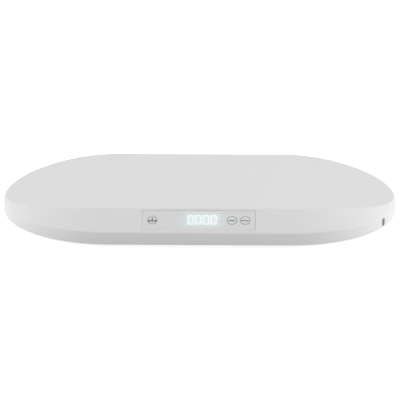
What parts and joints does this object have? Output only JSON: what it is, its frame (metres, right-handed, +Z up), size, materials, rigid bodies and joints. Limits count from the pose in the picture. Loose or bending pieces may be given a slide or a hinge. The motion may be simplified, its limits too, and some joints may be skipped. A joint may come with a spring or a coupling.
{
  "type": "digital baby weighing scale",
  "caption": "Low oblong weighing platform with a concave cradle pan, a lit display panel with round keys in its sloping front, and load-cell feet.",
  "frame": {"origin": "on the floor below the middle of the platform", "axes": "+X along the platform to the right, +Y to the back, away from the display, +Z up"},
  "size_m": [0.55, 0.29, 0.0468],
  "materials": {
    "white_abs": "white moulded ABS, satin",
    "panel_film": "pale translucent panel, satin",
    "display_module": "pale diffuser with lit digits",
    "black_abs": "black moulded plastic",
    "foot_rubber": "grey rubber",
    "zinc_steel": "zinc plated steel",
    "circuit_board": "green circuit board",
    "battery_wrap": "blue shrink wrap",
    "lead_sleeve": "red lead insulation"
  },
  "bodies": {
    "platform": {"platform_shell": "white_abs", "base_cover": "white_abs", "display_lens": "panel_film", "digit_display": "display_module", "charging_socket": "black_abs", "battery_holder": "black_abs", "load_cell_carrier_front_left": "black_abs", "load_cell_carrier_front_right": "black_abs", "load_cell_carrier_back_left": "black_abs", "load_cell_carrier_back_right": "black_abs", "load_cell_front_left": "zinc_steel", "load_cell_front_right": "zinc_steel", "load_cell_back_left": "zinc_steel", "load_cell_back_right": "zinc_steel", "switch_tare": "zinc_steel", "switch_unit": "zinc_steel", "switch_hold": "zinc_steel", "base_screw_1": "zinc_steel", "base_screw_2": "zinc_steel", "base_screw_3": "zinc_steel", "base_screw_4": "zinc_steel", "base_screw_5": "zinc_steel", "base_screw_6": "zinc_steel", "base_screw_7": "zinc_steel", "base_screw_8": "zinc_steel", "main_board_screw_1": "zinc_steel", "main_board_screw_2": "zinc_steel", "main_board_screw_3": "zinc_steel", "main_board_screw_4": "zinc_steel", "display_board_screw_1": "zinc_steel", "display_board_screw_2": "zinc_steel", "display_board_screw_3": "zinc_steel", "display_board_screw_4": "zinc_steel", "display_board": "circuit_board", "main_board": "circuit_board", "battery_pack": "battery_wrap", "load_cell_lead_front_left": "lead_sleeve", "load_cell_lead_front_right": "lead_sleeve", "load_cell_lead_back_left": "lead_sleeve", "load_cell_lead_back_right": "lead_sleeve", "battery_lead": "lead_sleeve", "charging_lead": "lead_sleeve", "display_lead": "lead_sleeve"},
    "foot_front_left": {"foot_front_left": "white_abs", "foot_pad_front_left": "foot_rubber"},
    "foot_front_right": {"foot_front_right": "white_abs", "foot_pad_front_right": "foot_rubber"},
    "foot_back_left": {"foot_back_left": "white_abs", "foot_pad_back_left": "foot_rubber"},
    "foot_back_right": {"foot_back_right": "white_abs", "foot_pad_back_right": "foot_rubber"},
    "key_tare": {"key_tare": "panel_film", "switch_plunger_tare": "black_abs"},
    "key_unit": {"key_unit": "panel_film", "switch_plunger_unit": "black_abs"},
    "key_hold": {"key_hold": "panel_film", "switch_plunger_hold": "black_abs"}
  },
  "joints": [
    {"name": "foot_front_left_travel", "type": "slide", "parent": "platform", "child": "foot_front_left", "axis": [0, 0, 1], "range_m": [0, 0.00025], "stiffness_N_per_m": 5000},
    {"name": "foot_front_right_travel", "type": "slide", "parent": "platform", "child": "foot_front_right", "axis": [0, 0, 1], "range_m": [0, 0.00025], "stiffness_N_per_m": 5000},
    {"name": "foot_back_left_travel", "type": "slide", "parent": "platform", "child": "foot_back_left", "axis": [0, 0, 1], "range_m": [0, 0.00025], "stiffness_N_per_m": 5000},
    {"name": "foot_back_right_travel", "type": "slide", "parent": "platform", "child": "foot_back_right", "axis": [0, 0, 1], "range_m": [0, 0.00025], "stiffness_N_per_m": 5000},
    {"name": "key_tare_press", "type": "slide", "parent": "platform", "child": "key_tare", "axis": [0, 0.5736, -0.8192], "range_m": [0, 0.0004], "stiffness_N_per_m": 400},
    {"name": "key_unit_press", "type": "slide", "parent": "platform", "child": "key_unit", "axis": [0, 0.5736, -0.8192], "range_m": [0, 0.0004], "stiffness_N_per_m": 400},
    {"name": "key_hold_press", "type": "slide", "parent": "platform", "child": "key_hold", "axis": [0, 0.5736, -0.8192], "range_m": [0, 0.0004], "stiffness_N_per_m": 400}
  ]
}
